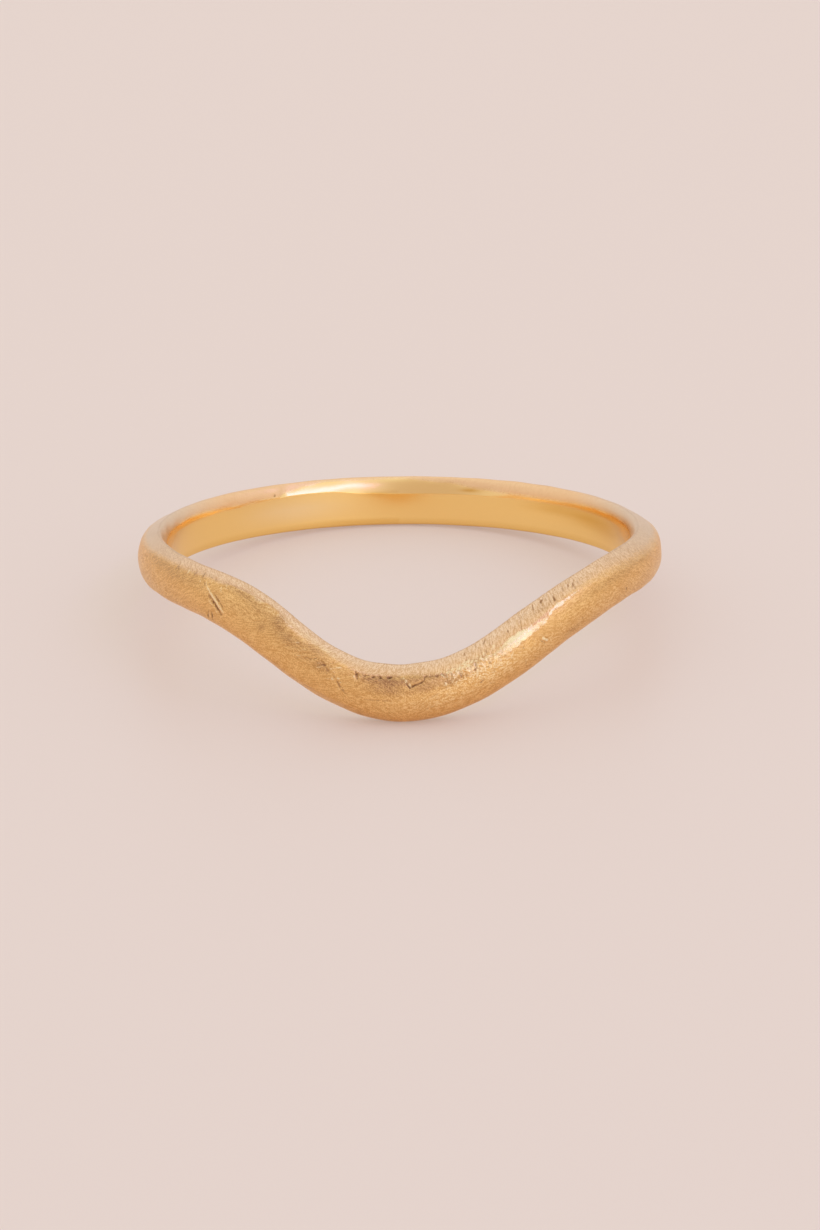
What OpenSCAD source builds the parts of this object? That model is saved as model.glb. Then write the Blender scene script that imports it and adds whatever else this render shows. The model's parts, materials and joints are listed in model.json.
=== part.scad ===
// A curved wedding band, lying on its side as it rests on a table.
// The ring is a hand-filed half-round band. Its front dips out of the plane of its back
// in one soft curve, so that it can sit close against a second ring.
// +Z is up and the middle of the dip faces -Y. The origin is on the table, under the
// middle of the ring. Angles around the ring run from 0 at the middle of the dip,
// and grow towards +X.

/* [Band] */
// Diameter of the bore that the finger goes through
bore_d = 17; // [14:0.1:22]
// How much longer the bore is from front to back than from side to side
bore_oval = 0.04; // [0:0.01:0.1]
// Width of the band at the front, measured square to its curve
front_w = 2.02; // [1.4:0.02:2.4]
// Width of the band at the back
back_w = 1.84; // [1.4:0.02:2.4]
// Thickness of the metal on the left side
left_t = 1.1; // [0.8:0.02:1.6]
// Thickness of the metal on the right side
right_t = 1.22; // [0.8:0.02:1.6]

/* [Dip] */
// Depth of the dip below the plane of the back
dip_depth = 3.16; // [0.5:0.02:3.6]
// Angle around the ring from the middle of the dip to its left end
left_reach = 66; // [60:1:85]
// Angle around the ring from the middle of the dip to its right end
right_reach = 75; // [60:1:85]
// How tightly the dip is drawn in between its two ends
dip_power = 3.3; // [2.5:0.1:3.5]

/* [Finish] */
// Radius that softens both edges of the bore
edge_r = 0.3; // [0.1:0.01:0.4]
// Angle above and below the middle of the outer face at which a soft ridge runs
ridge_angle = 38; // [30:1:45]
// How far the face is filed in beside the ridges, as a share of its half width
filed_share = 0.035; // [0:0.005:0.05]
// Number of sections around the ring
sections = 120; // [60:4:160]
// Number of steps over the outer face of a section
face_steps = 16; // [8:2:20]

/* [Hidden] */
bore_r = bore_d / 2;
// Steps in the round of each bore edge, and the angle at which the true bore takes over
edge_steps = 3;
edge_end = 75;
// Metal left inside the bore by the sweep, which the bore then cuts away
bore_stock = 0.15;
bore_facets = 180;
// The steepest tilt that is looked at, and how often the search for it is halved
tilt_most = 30;
tilt_halvings = 24;

function width(a) = (front_w + back_w) / 2 + (front_w - back_w) / 2 * cos(a);
function thickness(a) = (right_t + left_t) / 2 + (right_t - left_t) / 2 * sin(a);

// The dip follows a power of a cosine that falls to nothing at its two ends
function reach(a) = a < 0 ? left_reach : right_reach;
function in_dip(a) = abs(a) < reach(a);
function dip_turn(a) = 90 * a / reach(a);
function height(a) = in_dip(a) ? -dip_depth * pow(cos(dip_turn(a)), dip_power) : 0;
function climb(a) =
    dip_depth * dip_power * pow(cos(dip_turn(a)), dip_power - 1)
        * sin(dip_turn(a)) * 90 / reach(a);
// Slope of the band's middle line, which every section stands square to
function lean(a) = in_dip(a) ? atan2(climb(a), bore_r + thickness(a) / 2) : 0;

// The outer face is half an ellipse, filed in a little between the ridges and beside them
function filed(b) =
    let (
        wave = b < ridge_angle
            ? 90 + 90 * b / ridge_angle
            : 180 * (b - ridge_angle) / (90 - ridge_angle)
    )
    1 - filed_share * pow(sin(wave), 2);
function outer_face(w, t) = [
    for (i = [0 : face_steps])
        let (b = -90 + 180 * i / face_steps)
        [edge_r + (t - edge_r) * cos(b) * filed(abs(b)), w / 2 * sin(b) * filed(abs(b))]
];
function upper_edge(w) = [
    for (i = [1 : edge_steps])
        let (b = 90 + edge_end * i / edge_steps)
        [edge_r * (1 + cos(b)), w / 2 - edge_r + edge_r * sin(b)]
];
function mirrored(edge) = [for (i = [len(edge) - 1 : -1 : 0]) [edge[i][0], -edge[i][1]]];

// A section as [distance out from the bore's wall, height], from its lower bore edge
// round the outer face to its upper one
function section(w, t) =
    let (
        edge = upper_edge(w),
        upper = concat(edge, [[-bore_stock, edge[edge_steps - 1][1]]])
    )
    concat(mirrored(upper), outer_face(w, t), upper);

// The points of the section at one angle, in the ring's own frame with the bore along Z
function placed(a) = [
    for (p = section(width(a), thickness(a)))
        let (
            r = bore_r + p[0],
            turn = a - p[1] * sin(lean(a)) / r * 180 / PI
        )
        [r * sin(turn), -r * cos(turn), height(a) + p[1] * cos(lean(a))]
];

// Lying down, the ring tilts until its dip and the middle of its back touch the table
function level(p, tilt) = p[2] * cos(tilt) - p[1] * sin(tilt);
function lowest(a, tilt) = min([for (p = placed(a)) level(p, tilt)]);
function resting_tilt(low, high, halvings) =
    let (middle = (low + high) / 2)
    halvings == 0 ? middle
        : lowest(0, middle) < lowest(180, middle)
            ? resting_tilt(middle, high, halvings - 1)
            : resting_tilt(low, middle, halvings - 1);

rings = [for (i = [0 : sections - 1]) placed(-180 + 360 * i / sections)];
points = [for (ring = rings) each ring];
ring_size = len(rings[0]);
tilt = resting_tilt(0, tilt_most, tilt_halvings);
lying = [for (p = points) [p[0], p[1] * cos(tilt) + p[2] * sin(tilt), level(p, tilt)]];
function least(axis) = min([for (p = lying) p[axis]]);
function most(axis) = max([for (p = lying) p[axis]]);
table_point = [(least(0) + most(0)) / 2, (least(1) + most(1)) / 2, least(2)];

// The metal of the band, swept round the ring
module swept_band() {
    faces = [
        for (i = [0 : sections - 1], j = [0 : ring_size - 1])
            let (
                here = i * ring_size,
                next = (i + 1) % sections * ring_size,
                up = (j + 1) % ring_size
            )
            each [[here + j, here + up, next + up], [here + j, next + up, next + j]]
    ];
    polyhedron(points, faces);
}

// The bore is a true cylinder, drawn a touch towards the dip
module finger_bore() {
    bore_length = 2 * (dip_depth + front_w);
    for (shift = [0, bore_oval])
        translate([0, -shift, 0])
            cylinder(h = bore_length, r = bore_r, center = true, $fn = bore_facets);
}

module band() {
    color([0.8, 0.62, 0.35])
        translate(-table_point)
            rotate([-tilt, 0, 0])
                difference() {
                    swept_band();
                    finger_bore();
                }
}

band();
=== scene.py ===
"""A curved wedding band in filed and polished gold, lying on its side on a plain pale floor.

The ring's own frame has the bore along Z and the middle of the dip towards -Y. Angles around
the ring run from 0 at the middle of the dip and grow towards +X. A place on the outer face is
given by a face angle too: 0 at its middle, 90 at its upper edge and -90 at its lower one.
"""

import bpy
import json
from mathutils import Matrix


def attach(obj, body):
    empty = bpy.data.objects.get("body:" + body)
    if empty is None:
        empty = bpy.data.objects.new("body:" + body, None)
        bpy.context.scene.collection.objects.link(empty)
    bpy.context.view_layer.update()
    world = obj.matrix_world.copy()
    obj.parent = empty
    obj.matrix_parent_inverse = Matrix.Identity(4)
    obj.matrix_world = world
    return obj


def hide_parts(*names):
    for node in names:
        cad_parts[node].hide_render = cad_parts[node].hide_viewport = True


bl_info = {
    "name": "Curved wedding band",
    "version": (1, 0, 0),
    "blender": (4, 5, 0),
    "location": "3D View > Sidebar > Wedding band",
    "description": "A hand-filed gold band with a dip in its front, on a pale floor",
    "category": "Add Mesh",
}

import json
import math
from functools import partial
from types import SimpleNamespace

import bpy
import numpy as np
from bpy.props import FloatProperty, FloatVectorProperty, IntProperty, PointerProperty
from mathutils import Matrix, Vector

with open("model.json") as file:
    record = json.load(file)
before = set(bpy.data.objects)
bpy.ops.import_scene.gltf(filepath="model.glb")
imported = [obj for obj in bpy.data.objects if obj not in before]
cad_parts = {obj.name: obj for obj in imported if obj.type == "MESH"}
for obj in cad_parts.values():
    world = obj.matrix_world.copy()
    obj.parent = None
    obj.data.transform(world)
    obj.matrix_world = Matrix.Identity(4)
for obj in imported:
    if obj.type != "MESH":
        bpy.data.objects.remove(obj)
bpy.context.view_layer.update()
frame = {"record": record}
BORE = next(m for m in frame["record"]["mounts"] if m["name"] == "finger_bore")

MM = 0.001

# Camera
LONG_SIDE_PX = 1230  # long side of the photograph
SHIFT_PX = (11.7, -62.4)  # how far its frame is shifted to the right and up
SENSOR_WIDTH = 36  # mm
CLIP = (0.01, 50)  # nearest and farthest that it sees, in m
RING_MIDDLE = (-0.058, 0.289, 2.503)  # mm

# Studio
KEY_PLACE = (0.256, -0.21, 0.38)  # place of the key light, in m
KEY_SIZE = (0.43, 0.05)  # length and width of the key light, in m
SKY_RISE = (0.15, 0.85)  # heights where the horizon's light ends and the sky's is full, up to 1
WINDOW = (0.45, -0.88, 0.12)  # direction of the bright window, low in front and to the right
WINDOW_EDGE = (0.8, 0.98)  # cosines of the angles from its middle where it begins and is full
DARK_PATCH = (-0.25, -0.82, 0.52)  # direction of the dark patch, above and behind the camera
DARK_PATCH_EDGE = (0.77, 0.97)

# Points and polish of the bore
BEVEL_CORNER = 0.02  # last point of the bevel above the wall, as a share of its height
WALL_TOP_CORNER = 0.985  # points of the wall beside its two corners, as shares of its height
WALL_FOOT_CORNER = 0.07
POLISH_FADE = 0.2  # share of the bevel's height over which its polish fades
POLISH_END = 1.6  # turn round the lower edge where the polish ends, in radians

# Slow waves of the filing
WAVE_SEED = 5
WAVE_COUNT = 36
WAVE_TURNS = (4, 44)  # whole turns around the ring: the least, and one more than the most
WAVE_CROSSINGS = (-4, 5)  # the same around the section

# Grooves
GROOVE_REACH = 4  # how far to both sides a groove is worked out, in its widths
GROOVE_ENDS = (0.06, 0.94)  # where it has run out, as shares of its route
LIP_PLACE = 1.8  # how far its lips stand from its middle, in its widths
LIP_WIDTH = 0.7  # width of its lips, in its widths
FULL_LIPS = 0.35  # height of its lips, as a share of its depth
CREASE_LIPS = 0.12  # the same for the crease
FULL_CUT = 0.02  # depth in mm that the gold reads as 1
CUT_LIMITS = (-1, 3)  # highest lip and deepest cut that it reads

# Strewn file marks: the least and the most of each
MARK_SEED = 11
MARK_HALVES = (0.3, 0.7)  # half their length, as a share of their row's length
MARK_WIDTHS = (0.03, 0.045)  # mm
MARK_DEPTHS = (0.5, 1.3)  # as a share of their row's depth

# Burnished metal
STREAK_DEPTH = 0.01  # how deep it is pressed in, in mm
STREAK_FADE = 0.1  # width over which it fades at its edge, in mm
STREAK_WAVER = 0.015  # how far its edge wavers, in mm
STREAK_WAVES = ((13, 5), (21, -16))  # waves of its edge, in radians for each mm along and across

# Upper edge and foot of the bore
BRINK_DEPTH, BRINK_WIDTH = 0.02, 0.03  # mm from the edge down to the brown brink, its half width
BRINK_SHARE = 0.3  # how brown it is
# Painted shade at the foot of the bore's wall and round its lower edge: how strong it is on each
WALL_FOOT_SHADE, EDGE_SHADE = 0.3, 0.45
STRIP_LIMITS = (-1, 2)  # how far outside and inside the pale strip the gold reads

# Patterns of the gold: how often each changes in a mm around the ring, outwards and across,
# and how much finer detail it has
RAGGED_NOISE = (9.0, 9.0, 9.0), 2.0
GRAIN_NOISE = (22.0, 22.0, 22.0), 1.0
CROSSING_NOISE = (20.0, 20.0, 5.5), 2.0
LENGTHWISE_NOISE = (5.0, 5.0, 20.0), 2.0
DAPPLE_NOISE = (0.9, 0.9, 1.4), 4.0
ZONE_NOISE = (0.7, 0.7, 0.9), 3.0
NOISE_ROUGHNESS = 0.6
STRAIGHT_RADIUS = 10.0  # radius in mm of the ring with its dip pulled straight
# How far the file's lines run to the left for each mm that they climb; below 0, to the right
RISING_SLANT, FALLING_SLANT, STEEP_SLANT = -1.6, 1.8, -0.5
LINE_SHARE, GRAIN_SHARE = 1.1, 0.9  # what lines and grain add to the height of the finest marks

# Finish of the gold
BURNISHED_BUMP, RIM_BUMP, POLISHED_BUMP = 0.8, 0.3, 0.02  # strength of the grain's bump
RIM_SPECK = 0.9  # how light the hollows of the grain are on the rim; 1 hides them
ROUGHNESS_SPREAD = 0.06  # how far the filed gold's roughness varies
BURNISHED_ROUGHNESS = 0.25
BEVEL_ROUGHER = 0.05  # how much rougher the bevel is than the wall
WHITE = (1.0, 1.0, 1.0)

# Effects in the gold: where each begins and is full in what it follows, and how strong it is
# at these two, where that isn't 0 and 1
EFFECTS = {
    # Places on the straightened ring, in mm
    "right side": (-6.0, 6.0, -0.2, 0.2),
    "rim": (-3.5, 2.0),
    "sides begin": (-5.5, 0.0),
    "sides end": (6.5, 3.0),
    "front": (7.0, 3.0),
    # Face angles
    "palest strip": (48.0, 76.0),
    # Where the painted shade under the face begins and is full
    "underside_shade": (-24.0, -54.0),
    # Patterns
    "falling lines": (0.45, 0.55),
    "steep lines": (0.3, 0.4),
    "lengthwise lines": (0.47, 0.57),
    "broken cut": (0.4, 0.52, 0.4, 1.2),
    # Fields of the mesh, and those broken up by a pattern
    "strip": (0.6, 1.4),
    "rim strength": (0.0, 1.0, 0.0, 0.75),
    "burnished": (0.97, 1.17),
    "glare": (1.24, 1.5),
    "painted bevel highlight": (0.0, 1.0, 0.0, 0.25),
    # Tarnish with painted shade and dark reflections, and a painted pale reflection
    "tarnish_and_shade": (0.0, 1.0, 0.0, 0.6),
    "painted_reflection": (0.0, -1.0, 0.0, 0.6),
    # Painted shade in the cuts, and a painted highlight on their lips
    "shallow cut shade": (0.2, 1.0, 0.0, 0.9),
    "deep cut shade": (1.0, 2.4, 0.0, 0.9),
    "cut lip highlight": (-0.15, -0.5, 0.0, 0.8),
    "nick shade": (0.2, 1.0),
    # Height of the file grain
    "tone": (1.0, 2.0),
    "speck": (0.84, 1.16),
    "sheen": (0.98, 1.14, 0.0, 0.7),
    "smudge_and_shade": (1.1, 0.8, 0.2, 0.45),
    "glint": (0.8, 1.15, 0.35, 1.0),
    "roughness": (0.3, 0.7),
}

# The upper ridge: angle around the ring, face angle
RIDGE_BENDS = (
    (-180, 38),
    (-100, 42),
    (-58, 47),
    (-34, 64),
    (-15, 46),
    (0, 39),
    (23, 28),
    (41, 48),
    (64, 32),
    (100, 34),
    (180, 38),
)
# How far the face is filed in between the lower ridge and the lower edge, as a share of its
# half width: angle around the ring, share; below 0 it is left full
LOWER_FILED = (
    (-180, 0.075),
    (-72, 0.07),
    (-52, 0.03),
    (-35, 0.035),
    (-22, 0.045),
    (-13, 0.05),
    (-7, 0.01),
    (0, -0.035),
    (7, -0.055),
    (15, -0.03),
    (29, -0.02),
    (34, 0.02),
    (40, 0.015),
    (49, 0),
    (58, 0.04),
    (66, 0.075),
    (180, 0.075),
)
# How far the upper edge stands above its even curve: angle around the ring, mm
EDGE_BENDS = (
    (-78, 0),
    (-54, -0.09),
    (-36, 0.1),
    (-19, -0.09),
    (1, 0.06),
    (19, -0.05),
    (33, 0.04),
    (50, -0.02),
    (78, 0),
)
# Where the pale strip beside the upper edge starts: angle around the ring, face angle, and
# over how many degrees it blends
BLEND_COLUMN = 2
STRIP_STARTS = (
    (-180, 38, 30),
    (-80, 46, 26),
    (-66, 53, 22),
    (-57, 50, 26),
    (-48, 52, 18),
    (-44.5, 52, 10),
    (-42.5, 60, 6),
    (-37, 62, 6),
    (-35.8, 58, 6),
    (-34, 72, 8),
    (-31.5, 72, 8),
    (-30.2, 60, 6),
    (-28, 53, 10),
    (-25, 52, 14),
    (-20, 55, 16),
    (-14, 46, 10),
    (-11, 40, 6),
    (-3, 46, 8),
    (3, 49, 10),
    (7, 42, 14),
    (11, 36, 24),
    (24, 36, 20),
    (31, 36, 10),
    (35, 33, 8),
    (38, 46, 10),
    (44, 46, 26),
    (64, 42, 36),
    (100, 40, 34),
    (180, 38, 30),
)
# Scratches: angle around the ring and face angle of both ends, width and depth in mm; a depth
# below 0 is a raised burr
SCRATCHES = (
    (-47.8, 34, -41.2, -2, 0.04, -0.022),
    (-46.2, 17, -41.7, -9, 0.05, 0.04),
    (-45.2, 27, -41.4, 6, 0.03, 0.03),
    (-48.9, 49, -46.9, 39, 0.035, 0.014),
    (-49.4, 42, -48.2, 34, 0.035, 0.014),
    (-49, 30, -48.2, 24, 0.035, 0.014),
    (-46.6, 14, -46, 8, 0.04, 0.016),
    (-45.7, -16, -46, -40, 0.04, 0.028),
    (-44.6, -16, -44.2, -42, 0.04, 0.026),
    (-15.3, 16, -11.2, -14, 0.045, 0.021),
    (-18.6, 30, -15.5, 14, 0.05, 0.018),
    (-9, -14, 1, -2, 0.04, 0.013),
    (-10.9, 39, -9.9, 25, 0.05, 0.035),
    (39.2, 58, 40.2, 80, 0.035, 0.015),
    (43.5, 66, 45.8, 86, 0.035, 0.012),
    (36.4, 68, 38.2, 86, 0.04, 0.015),
    (31.7, 4, 32.4, -12, 0.035, 0.02),
    (32.4, 3, 33.1, -8, 0.05, -0.03),
    (58.4, -8, 59, -17, 0.05, 0.02),
    (0.6, 44, 1.5, 34, 0.04, -0.03),
    (1.4, 36, 2.6, 23, 0.04, -0.035),
)
# The rough crease under the ridge at the front: angle around the ring, face angle, width
# and depth in mm
CREASE = (
    (-12.6, 41, 0.03, 0),
    (-11.2, 40, 0.03, 0.03),
    (-10.4, 36, 0.045, 0.055),
    (-9.6, 39, 0.03, 0.005),
    (-8.6, 37, 0.04, 0.05),
    (-7.9, 40, 0.03, 0.03),
    (-7.3, 41, 0.03, 0.005),
    (-6.7, 39, 0.045, 0.07),
    (-6.1, 42, 0.04, 0.02),
    (-5.5, 44, 0.04, 0.05),
    (-4.9, 41, 0.05, 0.07),
    (-4.2, 43, 0.04, 0.02),
    (-3.6, 45, 0.03, 0.01),
    (-2.9, 43, 0.05, 0.07),
    (-2.2, 45, 0.045, 0.05),
    (-1.6, 46, 0.03, 0.005),
    (-0.6, 47, 0.03, 0.02),
    (0.3, 45, 0.03, 0.02),
    (1.4, 34, 0.03, 0.03),
    (2.3, 22, 0.04, 0.06),
    (3.3, 25, 0.035, 0.05),
    (4.2, 27, 0.03, 0.03),
    (5, 29, 0.035, 0.05),
    (5.8, 32, 0.03, 0.02),
    (6.1, 41, 0.04, 0.04),
    (6.5, 42, 0.04, 0.05),
    (7, 38, 0.04, 0.01),
    (7.6, 40, 0.05, 0.06),
    (8.3, 38, 0.03, 0.02),
    (9, 36, 0.05, 0.06),
    (9.6, 38, 0.03, 0.01),
    (10.2, 37, 0.05, 0.07),
    (10.8, 32, 0.04, 0.05),
    (11.6, 29, 0.03, 0),
)
# The burnished streak, whose pale colour is a painted highlight: angle around the ring, face
# angle, half width in mm, how much of it is burnished
STREAK = (
    (10.3, 31, 0.16, 0.5),
    (12, 31, 0.26, 0.55),
    (14, 33, 0.2, 0.54),
    (16.2, 36, 0.26, 0.62),
    (18.5, 31, 0.16, 0.5),
    (21, 29, 0.18, 0.62),
    (23.5, 26, 0.17, 0.68),
    (25.2, 30, 0.21, 0.86),
    (27, 32, 0.23, 0.94),
    (29.5, 33, 0.2, 0.96),
    (30.8, 32, 0.17, 0.9),
    (31.8, 31, 0.14, 0.82),
    (33.2, 31, 0.11, 0.82),
    (34.6, 31, 0.08, 0.9),
    (35.5, 34, 0.045, 1),
    (37, 40, 0.045, 1),
    (38, 43, 0.08, 0.85),
    (39.3, 43, 0.1, 0.85),
    (40.3, 43, 0.08, 0.8),
    (41.5, 44, 0.06, 0.7),
    (44.5, 45, 0.07, 0.62),
)
# The bright edge of the crack where the crease turns down, burnished and with a painted
# highlight, in the same columns
CRACK = (
    (0.5, 43, 0.04, 0.8),
    (0.9, 37, 0.05, 0.8),
    (1.7, 33, 0.05, 0.8),
    (2.1, 29, 0.05, 0.8),
    (2.5, 23, 0.03, 0.8),
)
# A bright chip low on the right, burnished and with a painted highlight, in the same columns
CHIP = (
    (32.4, 2, 0.05, 1),
    (33, -6, 0.06, 1),
)
# The bevel of the bore: angle around the ring, height in mm, share that is straight, share
# that is polished from the bore's wall up
STRAIGHT_COLUMN, POLISHED_COLUMN = 2, 3
BEVELS = (
    (-180, 0.6, 0.6, 0.9),
    (-172, 0.56, 0.6, 0.85),
    (-162, 0.42, 0.68, 0.85),
    (-157, 0.41, 0.78, 0.66),
    (-151.5, 0.42, 0.85, 0.36),
    (-148, 0.48, 0.12, 0.15),
    (-135, 0.56, 0.08, 0.2),
    (-120, 0.6, 0.08, 0.4),
    (-98, 0.6, 0.3, 0.28),
    (-85, 0.6, 0.6, 0),
    (80, 0.6, 0.6, 0),
    (96, 0.6, 0.1, 0.4),
    (125, 0.6, 0.06, 0.4),
    (142, 0.6, 0.08, 0.25),
    (151, 0.6, 0.12, 0.28),
    (159, 0.6, 0.4, 0.4),
    (168, 0.6, 0.6, 0.7),
    (180, 0.6, 0.6, 0.9),
)
# Nicks in the bevel: angle around the ring, mm beyond the upper edge, length around, width
# and depth in mm
NICKS = (
    (-147.5, 0.46, 0.08, 0.05, 0.025),
    (172, 0.3, 0.35, 0.03, 0.015),
)
# Brown tarnish on the bevel and the wall, partly real stains and partly painted shade and dark
# reflections: angle around the ring, mm beyond the upper edge, half length and half height in mm,
# strength; one with a strength below 0 is a painted pale reflection
TARNISH_AND_SHADE = (
    (-176, 0.64, 0.8, 0.05, 0.7),
    (161.5, 0.5, 0.4, 0.06, 1.3),
    (111, 0.5, 3.2, 0.2, 0.5),
    (137, 0.85, 1.3, 0.2, 0.7),
    (125, 0.95, 1.3, 0.28, 0.8),
    (114, 1.05, 1.5, 0.42, 0.85),
    (-153, 1.1, 2.2, 0.4, -1),
    (-171, 1.75, 2.6, 0.1, 0.35),
)
# Depth in mm of the narrowest place of the bore below its bevel: angle around the ring, depth
NARROWEST = (
    (-180, 0.14),
    (-173, -0.05),
    (-152, -0.05),
    (-147, 0.1),
    (-130, 0.12),
    (-90, 0.2),
    (90, 0.2),
    (130, 0.1),
    (150, 0),
    (173, 0),
    (180, 0.14),
)
# Brown smudges, partly real stains and partly painted shade below the ridge, under the crease
# and along the lower edge: angle around the ring, face angle, half length and half height in mm,
# strength
SMUDGES_AND_SHADE = (
    (-68, 40, 1.2, 0.18, 1.4),
    (-57, 30, 1.3, 0.22, 1.2),
    (-52, 48, 0.4, 0.1, 0.8),
    (-46, 25, 1.6, 0.35, 0.3),
    (-36, 25, 1.6, 0.4, 0.5),
    (-24, 24, 1.2, 0.35, 0.4),
    (-41.5, 55, 0.5, 0.15, 1.4),
    (-37.5, 55, 0.55, 0.17, 1.4),
    (-34.5, 45, 0.4, 0.14, 0.8),
    (-32.5, 62, 0.35, 0.25, 0.5),
    (-30, 55, 0.2, 0.16, 1.5),
    (-29.3, 44, 0.45, 0.2, 1.3),
    (-26.5, 30, 0.45, 0.16, 1.2),
    (-23, 42, 0.6, 0.15, 0.8),
    (-32, 18, 0.14, 0.2, 1),
    (-20, 46, 0.5, 0.12, 1.4),
    (-18, 20, 0.35, 0.2, 1.3),
    (-8.5, 32, 0.4, 0.12, 1),
    (-6, 34, 0.6, 0.22, 1),
    (-3.5, 30, 0.75, 0.28, 1),
    (-1, 30, 0.6, 0.3, 1),
    (-2, 36, 1.0, 0.16, 1),
    (3.6, 41, 0.35, 0.2, 1.4),
    (5.5, 42, 0.4, 0.16, 0.8),
    (8.5, 37, 0.4, 0.1, 1.4),
    (7.5, 24, 0.6, 0.2, 1.2),
    (11.3, 15, 0.25, 0.25, 0.8),
    (-3, 12, 0.9, 0.16, 1),
    (5.5, 16, 0.6, 0.16, 1),
    (12, 16, 0.5, 0.14, 1),
    (-1, -84, 2.2, 0.1, 1),
    (17.6, 41, 0.14, 0.14, 1.6),
    (19.6, 40, 0.22, 0.08, 1.4),
    (36, 58, 0.5, 0.12, 1),
    (40, -26, 0.5, 0.14, 1.2),
    (54, 26, 1.6, 0.15, 1),
    (66, 34, 1.5, 0.18, 0.8),
    (114, 66, 2.6, 0.24, 0.55),
    (140, 66, 2.6, 0.24, 0.55),
)
# Painted sheen: cream specks in the dip and beside it, and at both sides of the ring, in the
# same columns
SHEEN = (
    (-76, -15, 2.5, 0.5, 0.6),
    (-35, 66, 0.9, 0.14, 1),
    (-26, 64, 1.0, 0.14, 1),
    (-19, 62, 0.8, 0.12, 0.8),
    (14, 32, 0.9, 0.3, 1),
    (18, 10, 1.1, 0.3, 1.2),
    (22, -2, 0.8, 0.24, 0.6),
    (8, -16, 1.4, 0.35, 0.5),
    (30, -12, 2.0, 0.35, 0.5),
    (50, -12, 2.0, 0.35, 0.4),
    (76, -15, 2.5, 0.5, 0.6),
)
# Stretches of short file marks: first and last angle around the ring, first and last face
# angle, number, length in mm, turn from lengthwise in degrees, how much the turn varies, depth
# in mm; marks with a depth below 0 are raised
FILE_MARKS = (
    (-60, -43, 38, 62, 80, 0.4, -58, 8, 0.007),
    (-60, -43, 40, 66, 30, 0.3, -58, 8, -0.007),
    (-28, -12, 4, 42, 40, 0.7, 32, 7, 0.004),
    (-28, -12, 4, 42, 30, 0.6, 32, 7, -0.004),
    (10, 26, 16, 50, 70, 0.22, 58, 24, 0.008),
    (10, 26, 8, 48, 120, 0.2, 58, 24, -0.01),
    (20, 48, 50, 84, 50, 0.35, 55, 14, 0.008),
    (16, 33, 52, 86, 40, 0.36, 60, 8, 0.007),
    (34.5, 40, 58, 88, 26, 0.4, 60, 8, 0.007),
    (41, 47, 58, 88, 24, 0.36, 55, 8, 0.006),
    (48, 72, 40, 78, 40, 0.3, 60, 20, 0.007),
    (-36, -10, -35, 45, 60, 0.9, 32, 7, 0.0035),
    (-10, 12, -55, 12, 40, 0.8, 10, 10, 0.0045),
    (12, 30, -40, 20, 50, 0.3, 0, 60, 0.007),
    (30, 70, -60, 30, 50, 0.7, -25, 30, 0.005),
    (-80, -40, -60, 30, 50, 0.6, -20, 40, 0.005),
    (70, 290, -70, 80, 160, 0.6, 0, 50, 0.005),
)

Length = partial(FloatProperty, unit="LENGTH", precision=6)
Turn = partial(FloatProperty, unit="ROTATION")
Share = partial(FloatProperty, subtype="FACTOR")
Colour = partial(FloatVectorProperty, subtype="COLOR", size=3)


class BandShape(bpy.types.PropertyGroup):
    """Sizes of the ring"""

    bore: Length(
        name="Bore",
        description="Diameter of the bore that the finger goes through",
        default=2 * BORE["dims"]["r_mm"] * MM,
    )
    bore_oval: Length(
        name="Bore oval",
        description="How much longer the bore is from front to back",
        default=0.04 * MM,
    )
    front_width: Length(
        name="Front width",
        description="Width of the band at the front, square to its curve",
        default=2.02 * MM,
    )
    back_width: Length(
        name="Back width",
        description="Width of the band at the back",
        default=1.84 * MM,
    )
    left_thickness: Length(
        name="Left thickness",
        description="Thickness of the metal on the left side",
        default=1.1 * MM,
    )
    right_thickness: Length(
        name="Right thickness",
        description="Thickness of the metal on the right side",
        default=1.22 * MM,
    )
    dip: Length(
        name="Dip",
        description="Depth of the dip below the plane of the back",
        default=3.16 * MM,
    )
    left_reach: Turn(
        name="Left reach",
        description="Angle from the middle of the dip to its left end",
        default=math.radians(66),
    )
    right_reach: Turn(
        name="Right reach",
        description="Angle from the middle of the dip to its right end",
        default=math.radians(75),
    )
    dip_power: FloatProperty(
        name="Dip power",
        description="How tightly the dip is drawn in between its ends",
        default=3.3,
    )
    setback: Length(
        name="Setback",
        description="How far the metal falls back from the bore at both of its edges",
        default=0.3 * MM,
    )
    wall_crown: Length(
        name="Wall crown",
        description="How far the lightly crowned wall of the bore falls back at its foot",
        default=0.03 * MM,
    )
    foot: Length(
        name="Foot",
        description="Height of the round at the lower edge of the bore",
        default=0.12 * MM,
    )
    lower_ridge: Turn(
        name="Lower ridge",
        description="Face angle of the ridge below the middle of the outer face",
        default=math.radians(38),
    )
    middle_filed: Share(
        name="Middle filed",
        description="How far the face is filed in between its two ridges",
        default=0.035,
    )
    edge_filed: Share(
        name="Upper edge filed",
        description="How far the face is filed in between its upper ridge and edge",
        default=0.075,
    )
    crispness: FloatProperty(
        name="Crispness",
        description="Power of the filed hollows; nearer to 1 the ridges are sharper",
        default=1.15,
    )
    section_count: IntProperty(
        name="Sections",
        description="Number of sections around the ring",
        default=1000,
    )
    face_steps: IntProperty(
        name="Face steps",
        description="Number of steps over the outer face of a section",
        default=72,
    )
    bevel_steps: IntProperty(
        name="Bevel steps",
        description="Number of steps down the bevel of the bore",
        default=11,
    )
    wall_steps: IntProperty(
        name="Wall steps",
        description="Number of steps down the wall of the bore",
        default=6,
    )
    edge_steps: IntProperty(
        name="Edge steps",
        description="Number of steps round the lower edge of the bore",
        default=7,
    )
    front_crowding: Share(
        name="Front crowding",
        description="How much closer together the sections stand over the dip",
        default=0.55,
    )
    unevenness: Length(
        name="Unevenness",
        description="Height of the slow waves that hand filing leaves in the face",
        default=0.007 * MM,
    )


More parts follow.
